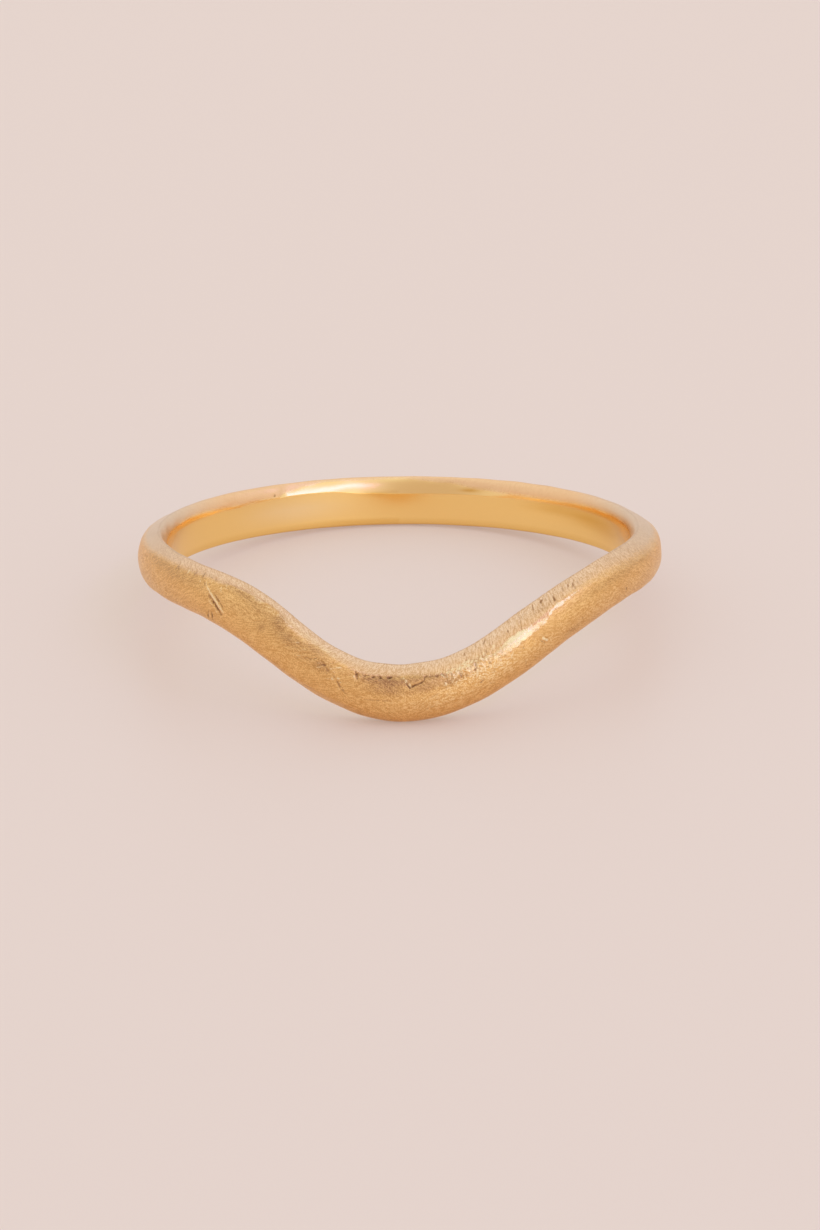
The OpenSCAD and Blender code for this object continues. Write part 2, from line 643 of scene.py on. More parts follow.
class GoldFinish(bpy.types.PropertyGroup):
    """Colours and roughness of the gold"""

    gold: Colour(
        name="Gold",
        description="Colour of the polished gold",
        default=(1.0, 0.69, 0.26),
    )
    filed: Colour(
        name="Filed gold",
        description="Colour of the filed outer face",
        default=(1.0, 0.65, 0.28),
    )
    filed_low: Colour(
        name="Filed gold, darker",
        description="Colour of the darker patches of the filed outer face",
        default=(0.94, 0.6, 0.245),
    )
    hollows: Colour(
        name="Hollows",
        description="Tint of the hollows between the file marks",
        default=(0.75, 0.64, 0.51),
    )
    # The two strip colours are partly a finer filed finish and partly painted light from overhead
    pale_low: Colour(
        name="Pale gold, lower",
        description="Colour of the finely filed strip where it starts",
        default=(0.95, 0.645, 0.37),
    )
    pale: Colour(
        name="Pale gold",
        description="Colour of the finely filed strip beside the upper edge",
        default=(0.94, 0.695, 0.47),
    )
    rim: Colour(
        name="Rim",
        description="Colour of the strip at both sides of the ring",
        default=(0.82, 0.66, 0.49),
    )
    # Painted highlight and sheen: laid on burnished metal, as sheen, on the lips of cuts, on the
    # bevel and as the pale reflection on the wall
    bright: Colour(
        name="Bright",
        description="Colour of burnished metal, of the sheen and of the lips of cuts",
        default=(1.0, 0.79, 0.47),
    )
    # Painted highlight: the palest middle of the burnished streak
    glare: Colour(
        name="Glare",
        description="Colour of the middle of the burnished streak",
        default=(1.0, 0.85, 0.53),
    )
    # Painted shade: a darker orange where the face turns under, for the shadowed floor it reflects
    underside_shade: Colour(
        name="Underside",
        description="Colour of the filed face where it turns under towards the floor",
        default=(0.98, 0.61, 0.24),
    )
    # Laid on as real tarnish and also as painted shade and dark reflections in the bore
    tarnish_and_shade: Colour(
        name="Tarnish",
        description="Colour of the tarnish on the bevel, the wall and its lower edge",
        default=(0.72, 0.36, 0.02),
    )
    # Painted shade: the dark colour laid in the bottom of the deepest cuts
    cut_shade: Colour(
        name="Dirt",
        description="Colour of the bottom of the deepest cuts",
        default=(0.2, 0.1, 0.04),
    )
    # Laid on as real stains and also as painted shade in the smudges, the shallow cuts and the
    # nicks
    brown: Colour(
        name="Brown",
        description="Colour of smudges, of shallow cuts and of the brink of the edge",
        default=(0.42, 0.22, 0.1),
    )
    filed_roughness: Share(
        name="Filed roughness",
        description="Roughness of the filed face",
        default=0.34,
    )
    bore_roughness: Share(
        name="Bore roughness",
        description="Roughness of the bore",
        default=0.16,
    )
    grain_depth: Length(
        name="Grain depth",
        description="Height of the finest file marks and grain",
        default=0.016 * MM,
    )


class StageSettings(bpy.types.PropertyGroup):
    """Floor, lights and camera"""

    floor: Colour(
        name="Floor",
        description="Colour of the floor",
        default=(0.78, 0.66, 0.595),
    )
    floor_glow: Share(
        name="Floor glow",
        description="Share of the floor's light that it gives off by itself",
        default=0.38,
    )
    floor_radius: Length(
        name="Floor radius",
        description="Radius of the round floor",
        default=6,
    )
    sky: Colour(
        name="Sky",
        description="Colour of the light that comes from overhead",
        default=(0.96, 0.96, 0.96),
    )
    horizon: Colour(
        name="Horizon",
        description="Colour of the light that comes from low down all round",
        default=(0.87, 0.8, 0.76),
    )
    window: Colour(
        name="Window",
        description="Colour of the bright window low down in front",
        default=(1.4, 1.35, 1.3),
    )
    dark_patch: Colour(
        name="Dark patch",
        description="Colour of the dark patch above the camera",
        default=(0.66, 0.54, 0.49),
    )
    key: Colour(
        name="Key light colour",
        description="Colour of the soft light, which is cooler than the room",
        default=(0.84, 0.61, 2.35),
    )
    key_power: FloatProperty(
        name="Key light",
        description="Power of the long soft light",
        default=0.092,
        unit="POWER",
    )
    elevation: Turn(
        name="Elevation",
        description="Height of the camera above the horizon",
        default=math.radians(23.43),
    )
    roll: Turn(
        name="Roll",
        description="Turn of the camera about its own axis",
        default=math.radians(-0.669),
    )
    distance: Length(
        name="Distance",
        description="Distance from the camera to the middle of the ring",
        default=0.38107,
    )
    lens: FloatProperty(
        name="Lens",
        description="Focal length in mm",
        default=303.06,
    )


def eased(table, a, column=1):
    """Value of a table's column at each angle around the ring, one row for each. The table's
    first column holds angles in degrees, and between two of its rows the value follows half a
    cosine wave."""
    place, value = np.array(table, float)[:, [0, column]].T
    at = np.degrees(a)
    low = np.clip(np.searchsorted(place, at) - 1, 0, len(place) - 2)
    share = np.clip((at - place[low]) / (place[low + 1] - place[low]), 0, 1)
    rise = (value[low + 1] - value[low]) * (1 - np.cos(np.pi * share)) / 2
    return (value[low] + rise)[:, None]


def angles_around(shape):
    """Angles of the sections in radians: pi*t - c*sin(pi*t) for even steps of t from -1 to 1,
    so that they crowd together over the dip."""
    t = np.linspace(-1, 1, shape.section_count + 1)[:-1]
    return np.pi * t - shape.front_crowding * np.sin(np.pi * t)


def width(shape, a):
    """The mean of the two widths, plus half their difference times the cosine of the angle."""
    mean = (shape.front_width + shape.back_width) / 2
    return mean + (shape.front_width - shape.back_width) / 2 * np.cos(a)


def thickness(shape, a):
    """The mean of the two thicknesses, plus half their difference times the sine."""
    mean = (shape.right_thickness + shape.left_thickness) / 2
    return mean + (shape.right_thickness - shape.left_thickness) / 2 * np.sin(a)


def dip_curve(shape, a):
    """Height of the band's middle line and its slope angle. The height is the dip's depth times
    a power of a cosine that falls to nothing at the dip's two ends, and the slope follows from
    it."""
    reach = np.where(a < 0, shape.left_reach, shape.right_reach)
    turn = np.clip(a / reach, -1, 1) * np.pi / 2
    power = shape.dip_power
    height = -shape.dip * np.cos(turn) ** power
    climb = shape.dip * power * np.cos(turn) ** (power - 1) * np.sin(turn) * np.pi / 2 / reach
    return height, np.arctan2(climb, shape.bore / 2 + thickness(shape, a) / 2)


def hollowed(shape, b, ridge, edge_filed):
    """Share of the half ellipse that is left at face angle b: 1 at the ridge and at the edge,
    and filed in between them by a power of a sine wave."""
    inside = b < ridge
    wave = np.where(
        inside,
        np.pi / 2 * (1 + b / ridge),
        np.pi * (b - ridge) / (np.pi / 2 - ridge),
    )
    depth = np.where(inside, shape.middle_filed, edge_filed)
    return 1 - depth * np.abs(np.sin(wave)) ** shape.crispness


def face_angles(shape):
    """Face angles of the points over the outer face, from its lower edge to its upper one."""
    return np.linspace(-np.pi / 2, np.pi / 2, shape.face_steps + 1)


def bevel_shares(shape):
    """Shares of the bevel's height, from the top down. The last two lie close together, so
    that its corner with the wall stays crisp."""
    share = np.cos(np.linspace(0, np.pi / 2, shape.bevel_steps + 1)[1:])
    return np.concatenate([share[:-1], [BEVEL_CORNER, 0]])


def wall_shares(shape):
    """Shares of the wall's height, from the top down, with a point close to each corner."""
    even = np.linspace(1, 0, shape.wall_steps)[1:-1]
    return np.concatenate([[WALL_TOP_CORNER], even, [WALL_FOOT_CORNER, 0]])


def edge_turns(shape):
    """Turns in radians of the points round the lower edge of the bore, between its two ends."""
    return np.linspace(0, np.pi / 2, shape.edge_steps + 1)[1:-1]


def part_sizes(shape):
    """Numbers of a section's points on its outer face, bevel, wall and lower edge."""
    return [len(part(shape)) for part in (face_angles, bevel_shares, wall_shares, edge_turns)]


def bore_profile(shape, a, half):
    """Distance out and height of the bore's points, from its upper edge down. The bevel is part
    slope, part quarter ellipse. The wall is a shallow parabola about its narrowest place, and
    ends in a quarter ellipse."""
    bevel_height = eased(BEVELS, a) * MM
    straight = eased(BEVELS, a, STRAIGHT_COLUMN)
    share = bevel_shares(shape)
    curve = straight * share + (1 - straight) * (1 - np.sqrt(1 - share**2))
    wall_top, wall_foot = half - bevel_height, shape.foot - half
    wall = wall_foot + (wall_top - wall_foot) * wall_shares(shape)
    narrowest = wall_top - eased(NARROWEST, a) * MM
    back = shape.wall_crown * ((wall_top - narrowest) / (wall_foot - narrowest)) ** 2
    turn = edge_turns(shape)
    out = [
        back + (shape.setback - back) * curve,
        shape.wall_crown * ((wall - narrowest) / (wall_foot - narrowest)) ** 2,
        shape.wall_crown + (shape.setback - shape.wall_crown) * (1 - np.cos(turn)) + 0 * half,
    ]
    up = [wall_top + bevel_height * share, wall, wall_foot - shape.foot * np.sin(turn)]
    return np.hstack(out), np.hstack(up)


def section_points(shape, a):
    """Distance out from the bore and height of each point of each section. The outer face is
    half an ellipse, filed in beside its ridges."""
    face = face_angles(shape)
    half = width(shape, a)[:, None] / 2
    deep = thickness(shape, a)[:, None] - shape.setback
    left = np.where(
        face < 0,
        hollowed(shape, -face, shape.lower_ridge, eased(LOWER_FILED, a)),
        hollowed(shape, face, np.radians(eased(RIDGE_BENDS, a)), shape.edge_filed),
    )
    bore_out, bore_up = bore_profile(shape, a, half)
    out = np.hstack([shape.setback + deep * np.cos(face) * left, bore_out])
    up = np.hstack([half * np.sin(face) * left, bore_up])
    up += eased(EDGE_BENDS, a) * MM * np.clip(up / half, 0, 1) ** 2
    return out, up


def polished_share(shape, a):
    """How polished each point of each section is: not on the outer face, up to a share of the
    bevel that changes around the ring, all over the wall, and fading round its lower edge."""
    reach = eased(BEVELS, a, POLISHED_COLUMN)
    bevel = np.clip(0.5 + (reach - bevel_shares(shape)) / POLISH_FADE, 0, 1)
    edge = np.clip(POLISH_END - edge_turns(shape), 0, 1)
    parts = (0 * face_angles(shape), bevel, np.ones_like(wall_shares(shape)), edge)
    return np.hstack([np.broadcast_to(part, (len(a), part.shape[-1])) for part in parts])


def length_around(shape, a):
    """Length along the outer middle line from the middle of the dip, and the whole length."""
    height, _ = dip_curve(shape, a)
    r = shape.bore / 2 + thickness(shape, a)
    line = np.stack([r * np.sin(a), -r * np.cos(a), height], -1)
    step = np.linalg.norm(np.roll(line, -1, 0) - line, axis=1)
    length = np.concatenate([[0], np.cumsum(step)[:-1]])
    return length - np.interp(0, a, length), step.sum()


def length_across(shape, out, up):
    """Length over each section from the middle of its outer face."""
    step = np.hypot(np.diff(out, axis=1), np.diff(up, axis=1))
    length = np.hstack([np.zeros((len(out), 1)), np.cumsum(step, axis=1)])
    return length - length[:, shape.face_steps // 2, None]


def slow_waves(shape, around, across, perimeter):
    """The unevenness of hand filing: sine waves with whole numbers of turns around the ring
    and around the section, each with its own phase, so that the sum closes on itself."""
    rng = np.random.default_rng(WAVE_SEED)
    total = np.zeros_like(across)
    for _ in range(WAVE_COUNT):
        turns, crossings = rng.integers(*WAVE_TURNS), rng.integers(*WAVE_CROSSINGS)
        wave = turns * around[:, None] + crossings * 2 * np.pi * across / perimeter
        total += np.sin(wave + rng.uniform(0, 2 * np.pi)) / math.sqrt(WAVE_COUNT)
    return shape.unevenness * total


class Surface:
    """The ring's surface laid flat, in mm: along runs around the ring from the middle of the
    dip, and across runs over the section from the middle of the outer face."""

    def __init__(self, shape, a, along, across):
        self.degrees = np.degrees(a)
        self.along = along / MM
        self.across = across / MM
        self.face = np.degrees(face_angles(shape))
        self.relief = np.zeros_like(self.across)

    def place(self, degrees, face):
        """Along and across of an angle around the ring and a face angle."""
        row = np.searchsorted(self.degrees, degrees) % len(self.degrees)
        across = np.interp(face, self.face, self.across[row, : len(self.face)])
        return np.array([np.interp(degrees, self.degrees, self.along), across])

    def beyond_edge(self, degrees, distance):
        """Along and across of a place in the bore, distance mm beyond its upper edge."""
        return self.place(degrees, 90) + [0, distance]

    def route(self, points):
        """The places of a row of points given by their angles."""
        return [self.place(degrees, face) for degrees, face in points]

    def near(self, route, reach):
        """The rows of the surface that lie within reach of a route."""
        ends = [point[0] for point in route]
        return slice(*np.searchsorted(self.along, [min(ends) - reach, max(ends) + reach]))

    def gap(self, rows, route):
        """Distance of each point in rows from the route, and how far along the route the
        nearest place is, counted in its stretches."""
        u, v = self.along[rows, None], self.across[rows]
        gap, along = np.full(v.shape, np.inf), np.zeros(v.shape)
        for i, (start, end) in enumerate(zip(route, route[1:])):
            run = end - start
            share = np.clip(((u - start[0]) * run[0] + (v - start[1]) * run[1]) / (run @ run), 0, 1)
            here = np.hypot(u - start[0] - share * run[0], v - start[1] - share * run[1])
            along = np.where(here < gap, i + share, along)
            gap = np.minimum(gap, here)
        return gap, along

    def groove(self, route, wide, depth, lips=FULL_LIPS):
        """Cuts a groove along a route: a bell-shaped hollow that runs out at both ends, with
        low lips thrown up on both sides. Width and depth are one for each place of the route,
        or one for all."""
        rows = self.near(route, GROOVE_REACH * np.max(wide))
        gap, along = self.gap(rows, route)
        places = np.arange(len(route))
        wide = np.interp(along, places, np.broadcast_to(wide, len(route)))
        depth = np.interp(along, places, np.broadcast_to(depth, len(route)))
        runout = np.sin(np.pi * np.clip(along / (len(route) - 1), *GROOVE_ENDS)) ** 0.5
        hollow = np.exp(-((gap / wide) ** 2))
        lip = lips * np.exp(-(((gap - LIP_PLACE * wide) / (LIP_WIDTH * wide)) ** 2))
        self.relief[rows] -= depth * runout * (hollow - lip)


def file_marks(surface):
    """Short straight grooves, strewn over the stretches that FILE_MARKS names."""
    rng = np.random.default_rng(MARK_SEED)
    for first, last, low, high, number, length, turn, spread, depth in FILE_MARKS:
        for _ in range(number):
            degrees = (rng.uniform(first, last) + 180) % 360 - 180
            middle = surface.place(degrees, rng.uniform(low, high))
            direction = np.radians(turn + rng.normal(0, spread))
            half = length * rng.uniform(*MARK_HALVES)
            run = half * np.array([np.cos(direction), np.sin(direction)])
            wide = rng.uniform(*MARK_WIDTHS)
            surface.groove([middle - run, middle + run], wide, depth * rng.uniform(*MARK_DEPTHS))


def burnished_mask(surface, table):
    """How burnished each place is along a table's row of places, from 0 to 1, with a wavering
    edge."""
    *places, half, cover = np.array(table, float).T
    gap, along = surface.gap(slice(None), surface.route(zip(*places)))
    half = np.interp(along, np.arange(len(table)), half)
    cover = np.interp(along, np.arange(len(table)), cover)
    waver = sum(
        np.sin(u * surface.along[:, None] + v * surface.across) for u, v in STREAK_WAVES
    )
    return cover * np.clip(0.5 + (half + STREAK_WAVER * waver - gap) / STREAK_FADE, 0, 1)


def bell_patches(surface, table, place):
    """Sum of a table's patches, each a bell shape as long, high and strong as its row says."""
    total = np.zeros_like(surface.across)
    for degrees, height, long, high, strength in table:
        u, v = place(degrees, height)
        reach = ((surface.along[:, None] - u) / long) ** 2 + ((surface.across - v) / high) ** 2
        total += strength * np.exp(-reach)
    return total


def carve(surface):
    """Cuts the scratches, the crease, the file marks and the nicks, and presses the burnished
    metal in a little. Returns how burnished each place is."""
    for first, low, last, high, wide, depth in SCRATCHES:
        surface.groove(surface.route([(first, low), (last, high)]), wide, depth)
    *places, wide, depth = np.array(CREASE, float).T
    surface.groove(surface.route(zip(*places)), wide, depth, CREASE_LIPS)
    file_marks(surface)
    for degrees, distance, length, wide, depth in NICKS:
        start = surface.beyond_edge(degrees, distance)
        surface.groove([start, start + [length, 0]], wide, depth, 0)
    masks = [burnished_mask(surface, table) for table in (STREAK, CRACK, CHIP)]
    burnished = np.maximum.reduce(masks)
    surface.relief -= STREAK_DEPTH * burnished
    return burnished


def raised(out, up, relief):
    """The sections' points, moved outwards by relief, square to the line between the points
    before and after each."""
    out_step = np.roll(out, -1, 1) - np.roll(out, 1, 1)
    up_step = np.roll(up, -1, 1) - np.roll(up, 1, 1)
    step = np.hypot(out_step, up_step)
    return out + relief * up_step / step, up - relief * out_step / step


def ring_points(shape, a, out, up):
    """Places in the ring's own frame. A section's point stands out from the bore, and up
    along the section, which leans back with the slope of the dip."""
    height, lean = (x[:, None] for x in dip_curve(shape, a))
    r = shape.bore / 2 + shape.bore_oval * np.clip(np.cos(a), 0, None)[:, None] + out
    turn = a[:, None] - up * np.sin(lean) / r
    return np.stack([r * np.sin(turn), -r * np.cos(turn), height + up * np.cos(lean)], -1)


def resting_place(shape, points):
    """Turns the ring's own frame onto the bore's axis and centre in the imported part."""
    axis = Vector(BORE["axis"]).normalized()
    back = Vector((0, axis.z, -axis.y))
    turned = np.array([Vector((1, 0, 0)), back, axis])
    centre = np.array(Vector(BORE["pos_m"]) + back * shape.bore_oval / 2)
    return points @ turned + centre


def straightened(turned, across, whole):
    """Places in mm on the cylinder that the surface makes once the dip is pulled straight. They
    keep its lengths, and the gold's patterns lie on them."""
    radius = whole / (2 * np.pi) / MM
    sideways, rearward = radius * np.sin(turned)[:, None], -radius * np.cos(turned)[:, None]
    return np.stack(np.broadcast_arrays(sideways, rearward, across / MM), -1)


def closed_grid(rows, columns):
    """Four corners of each face of a grid that closes on itself both ways, outwards."""
    i, j = np.meshgrid(np.arange(rows), np.arange(columns), indexing="ij")
    after, above = (i + 1) % rows, (j + 1) % columns
    corners = [i * columns + j, after * columns + j, after * columns + above, i * columns + above]
    return np.stack(corners, -1).reshape(-1, 4)


def grid_mesh(name, points, fields):
    """A smooth mesh over a closed grid of points, with each field as a point attribute. A field
    has one number or one vector for each point, or one number for each place of a section."""
    rows, columns = points.shape[:2]
    faces = closed_grid(rows, columns)
    mesh = bpy.data.meshes.new(name)
    mesh.vertices.add(rows * columns)
    mesh.vertices.foreach_set("co", points.astype(np.float32).ravel())
    mesh.loops.add(faces.size)
    mesh.loops.foreach_set("vertex_index", faces.astype(np.int32).ravel())
    mesh.polygons.add(len(faces))
    mesh.polygons.foreach_set("loop_start", np.arange(0, faces.size, 4, dtype=np.int32))
    mesh.update(calc_edges=True)
    mesh.shade_smooth()
    for label, values in fields.items():
        if values.ndim == 3:
            kind, target = "FLOAT_VECTOR", "vector"
        else:
            kind, target = "FLOAT", "value"
            values = np.broadcast_to(values, (rows, columns))
        attribute = mesh.attributes.new(label, kind, "POINT")
        attribute.data.foreach_set(target, values.astype(np.float32).ravel())
    return mesh


def band_fields(shape, a, surface):
    """What the gold reads from the mesh, apart from its places, polish and burnish: the tables'
    patches, the cuts, how far inside the pale strip each place is, the face angle, the bevel
    above its last point, and the brown brink, which is a bell shape below the upper edge. The
    bore counts as lying at 90 degrees. Painted shade lies on the wall's last two points and on
    its lower edge."""
    face, bevel, wall, edge = part_sizes(shape)
    beyond = np.full(bevel + wall + edge, np.pi / 2)
    face_height = np.degrees(np.concatenate([face_angles(shape), beyond]))
    start, blend = eased(STRIP_STARTS, a), eased(STRIP_STARTS, a, BLEND_COLUMN)
    upper_edge = surface.across[:, face - 1, None]
    # Painted shade along the foot of the wall, for the shadowed floor it reflects
    foot = (0, WALL_FOOT_SHADE, EDGE_SHADE)
    foot_shade = np.repeat(foot, (face + bevel + wall - 2, 2, edge))
    return {
        "smudged_and_shaded": bell_patches(surface, SMUDGES_AND_SHADE, surface.place),
        "sheen": bell_patches(surface, SHEEN, surface.place),
        "tarnish_shade_and_shine": bell_patches(surface, TARNISH_AND_SHADE, surface.beyond_edge) + foot_shade,
        "cut": np.clip(-surface.relief / FULL_CUT, *CUT_LIMITS),
        "strip": np.clip(0.5 + (face_height - start) / blend, *STRIP_LIMITS),
        "face_height": face_height,
        "bevel": np.repeat((0, 1, 0), (face, bevel - 1, 1 + wall + edge)),
        "brink": np.exp(-(((surface.across - upper_edge + BRINK_DEPTH) / BRINK_WIDTH) ** 2)),
    }


def band_mesh(shape):
    """The whole ring as one closed grid: angle around the ring by place around the section."""
    a = angles_around(shape)
    out, up = section_points(shape, a)
    along, whole = length_around(shape, a)
    across = length_across(shape, out, up)
    perimeter = across[:, -1:] - across[:, :1]
    surface = Surface(shape, a, along, across)
    burnished = carve(surface)
    turned = 2 * np.pi * along / whole
    polished = polished_share(shape, a)
    waves = (1 - polished) * slow_waves(shape, turned, across, perimeter)
    points = ring_points(shape, a, *raised(out, up, surface.relief * MM + waves))
    fields = {
        "straightened": straightened(turned, across, whole),
        "polished": polished,
        "burnished": burnished,
        **band_fields(shape, a, surface),
    }
    return grid_mesh("gold_band", resting_place(shape, points), fields)


def shader_node(tree, kind, settings=None, inputs=None):
    """Adds a node, sets its properties, and sets or links its inputs."""
    node = tree.nodes.new("ShaderNode" + kind)
    for name, value in (settings or {}).items():
        setattr(node, name, value)
    for name, value in (inputs or {}).items():
        if isinstance(value, bpy.types.NodeSocket):
            tree.links.new(value, node.inputs[name])
        else:
            node.inputs[name].default_value = value
    return node


def field(tree, name, output="Fac"):
    """A field that the mesh carries."""
    return shader_node(tree, "Attribute", {"attribute_name": name}).outputs[output]


def along_axis(tree, place, axis):
    """One coordinate of a place."""
    return shader_node(tree, "SeparateXYZ", {}, {0: place}).outputs[axis]


def noise(tree, place, pattern):
    """Noise whose patches measure about one over the pattern's stretch along each axis."""
    stretch, detail = pattern
    mapping = shader_node(tree, "Mapping", {}, {"Vector": place, "Scale": stretch})
    inputs = {"Vector": mapping.outputs["Vector"], "Scale": 1.0}
    inputs.update({"Detail": detail, "Roughness": NOISE_ROUGHNESS})
    return shader_node(tree, "TexNoise", {}, inputs).outputs["Fac"]


def plus(tree, first, second):
    """The sum of two numbers."""
    return shader_node(tree, "Math", {"operation": "ADD"}, {0: first, 1: second}).outputs[0]


def times(tree, first, second):
    """The product of two numbers."""
    return shader_node(tree, "Math", {"operation": "MULTIPLY"}, {0: first, 1: second}).outputs[0]


def slanted(tree, place, slant):
    """The same place, turned about Z by an angle that grows with Z, so that lines that ran
    straight across the band run across it at a slant."""
    angle = times(tree, along_axis(tree, place, "Z"), slant / STRAIGHT_RADIUS)
    inputs = {"Vector": place, "Angle": angle}
    turned = shader_node(tree, "VectorRotate", {"rotation_type": "Z_AXIS"}, inputs)
    return turned.outputs["Vector"]


def ranged(tree, value, low, high, to_low=0.0, to_high=1.0):
    """Moves value from one range to another, and holds it inside."""
    inputs = {"Value": value, "From Min": low, "From Max": high}
    inputs.update({"To Min": to_low, "To Max": to_high})
    return shader_node(tree, "MapRange", {}, inputs).outputs["Result"]


def effect(tree, name, value):
    """Strength of one of the EFFECTS, from what it follows."""
    return ranged(tree, value, *EFFECTS[name])


def mixed(tree, share, first, second, blend="MIX"):
    """A mix of two colours."""
    settings = {"data_type": "RGBA", "blend_type": blend}
    return shader_node(tree, "Mix", settings, {0: share, 6: first, 7: second}).outputs[2]


def mixed_number(tree, share, first, second):
    """A mix of two numbers."""
    settings = {"data_type": "FLOAT"}
    return shader_node(tree, "Mix", settings, {0: share, 2: first, 3: second}).outputs[0]


def opaque(colour):
    """A colour with full alpha."""
    return (*colour, 1.0)


def tinted(tree, share, colour, tint):
    """A colour with a share of a plain tint laid over it."""
    return mixed(tree, share, colour, opaque(tint))


def gold_masks(tree):
    """The place and the masks that the gold's colour, bump and roughness share: two patterns
    that break up their borders, the pale strip, the rim at both sides and the back, and the
    burnished and the polished metal."""
    place = field(tree, "straightened", "Vector")
    rearward = along_axis(tree, place, "Y")
    ragged = noise(tree, place, RAGGED_NOISE)
    strip = effect(tree, "strip", plus(tree, field(tree, "strip"), ragged))
    rim = times(tree, effect(tree, "rim", rearward), strip)
    burnished = plus(tree, field(tree, "burnished"), ragged)
    return SimpleNamespace(
        place=place,
        rearward=rearward,
        ragged=ragged,
        dapple=noise(tree, place, DAPPLE_NOISE),
        strip=strip,
        rim=effect(tree, "rim strength", rim),
        burnished=effect(tree, "burnished", burnished),
        polished=field(tree, "polished"),
    )


def file_grain(tree, masks):
    """Height of the finest file marks, and the even grain in it. Fine lines run lengthwise in
    some patches of the face, and cross it in the others: to the left of the dip they climb to
    the right, and to the right of it they climb to the left. In the strip they climb to the
    left at its left end, and are steep elsewhere."""
    place = masks.place
    grain = noise(tree, place, GRAIN_NOISE)
    rising, falling, steep = (
        noise(tree, slanted(tree, place, slant), CROSSING_NOISE)
        for slant in (RISING_SLANT, FALLING_SLANT, STEEP_SLANT)
    )
    lengthwise = noise(tree, place, LENGTHWISE_NOISE)
    zone = effect(tree, "right side", along_axis(tree, place, "X"))
    zone = plus(tree, zone, noise(tree, place, ZONE_NOISE))
    crossing = mixed_number(tree, effect(tree, "falling lines", zone), rising, falling)
    upper = mixed_number(tree, effect(tree, "steep lines", zone), falling, steep)
    share = effect(tree, "lengthwise lines", masks.dapple)
    face_lines = mixed_number(tree, share, crossing, lengthwise)
    lines = mixed_number(tree, masks.strip, face_lines, upper)
    return plus(tree, times(tree, lines, LINE_SHARE), times(tree, grain, GRAIN_SHARE)), grain


def grain_bump(tree, finish, masks, height):
    """The grain's bump: weaker on burnished metal, weak on the rim and almost none where the
    metal is polished."""
    strength = mixed_number(tree, masks.burnished, 1.0, BURNISHED_BUMP)
    strength = mixed_number(tree, masks.rim, strength, RIM_BUMP)
    strength = mixed_number(tree, masks.polished, strength, POLISHED_BUMP)
    inputs = {"Strength": strength, "Distance": finish.grain_depth, "Height": height}
    return shader_node(tree, "Bump", {}, inputs).outputs["Normal"]


def strip_colour(tree, finish, masks):
    """The pale strip, a finer filed finish with painted light from overhead laid over it: palest at
    the upper edge in front, and greyer on the rim at both sides.
    """
    rearward = masks.rearward
    # Painted light: the strip is made paler towards the upper edge, where overhead light falls
    upper = effect(tree, "palest strip", field(tree, "face_height"))
    upper = times(tree, upper, effect(tree, "front", rearward))
    side = effect(tree, "sides begin", rearward)
    side = times(tree, side, effect(tree, "sides end", rearward))
    pale = tinted(tree, upper, opaque(finish.pale_low), finish.pale)
    return tinted(tree, side, pale, finish.rim)


def filed_colour(tree, finish, masks, height):
    """The filed face from the ground up: its two tones, the pale strip with its painted overhead
    light, the painted shade where the face turns under, the dark hollows of the grain, the painted
    sheen, the smudges with their painted shade, the cuts with painted shade in them and a painted
    highlight on their lips, and last the burnished metal with its painted glints and glare."""
    tone = effect(tree, "tone", plus(tree, height, masks.dapple))
    filed = tinted(tree, tone, opaque(finish.filed_low), finish.filed)
    filed = mixed(tree, masks.strip, filed, strip_colour(tree, finish, masks))
    # Painted shade where the face turns under towards the floor
    under = effect(tree, "underside_shade", field(tree, "face_height"))
    filed = tinted(tree, under, filed, finish.underside_shade)

    speck = mixed_number(tree, masks.rim, effect(tree, "speck", height), RIM_SPECK)
    speck = tinted(tree, speck, opaque(finish.hollows), WHITE)
    filed = mixed(tree, 1.0, filed, speck, "MULTIPLY")
    # Painted sheen: cream specks laid on the face where the mesh says so
    sheen = times(tree, field(tree, "sheen"), effect(tree, "sheen", height))
    filed = tinted(tree, sheen, filed, finish.bright)

    # Brown smudges, partly real stains and partly painted shade below the ridge and the crease, and
    # the brown brink
    smudge_and_shade = times(tree, field(tree, "smudged_and_shaded"), effect(tree, "smudge_and_shade", height))
    smudge_and_shade = plus(tree, smudge_and_shade, times(tree, field(tree, "brink"), BRINK_SHARE))
    filed = tinted(tree, smudge_and_shade, filed, finish.brown)
    # Painted shade in the cuts, brown where shallow and dark where deep, and a painted highlight on
    # their raised lips
    cut = times(tree, field(tree, "cut"), effect(tree, "broken cut", masks.ragged))
    filed = tinted(tree, effect(tree, "shallow cut shade", cut), filed, finish.brown)
    filed = tinted(tree, effect(tree, "deep cut shade", cut), filed, finish.cut_shade)
    filed = tinted(tree, effect(tree, "cut lip highlight", cut), filed, finish.bright)

    # Painted highlight: glints on the burnished metal, and a pale glare in its middle
    glint = times(tree, masks.burnished, effect(tree, "glint", height))
    filed = tinted(tree, glint, filed, finish.bright)
    glare = effect(tree, "glare", plus(tree, field(tree, "burnished"), masks.dapple))
    return tinted(tree, glare, filed, finish.glare)


def bore_colour(tree, finish):
    """The polished bore, made a little paler on its bevel by a painted highlight, and brown in its
    nicks as painted shade.
    """
    bevel = effect(tree, "painted bevel highlight", field(tree, "bevel"))
    gold = tinted(tree, bevel, opaque(finish.gold), finish.bright)
    return tinted(tree, effect(tree, "nick shade", field(tree, "cut")), gold, finish.brown)


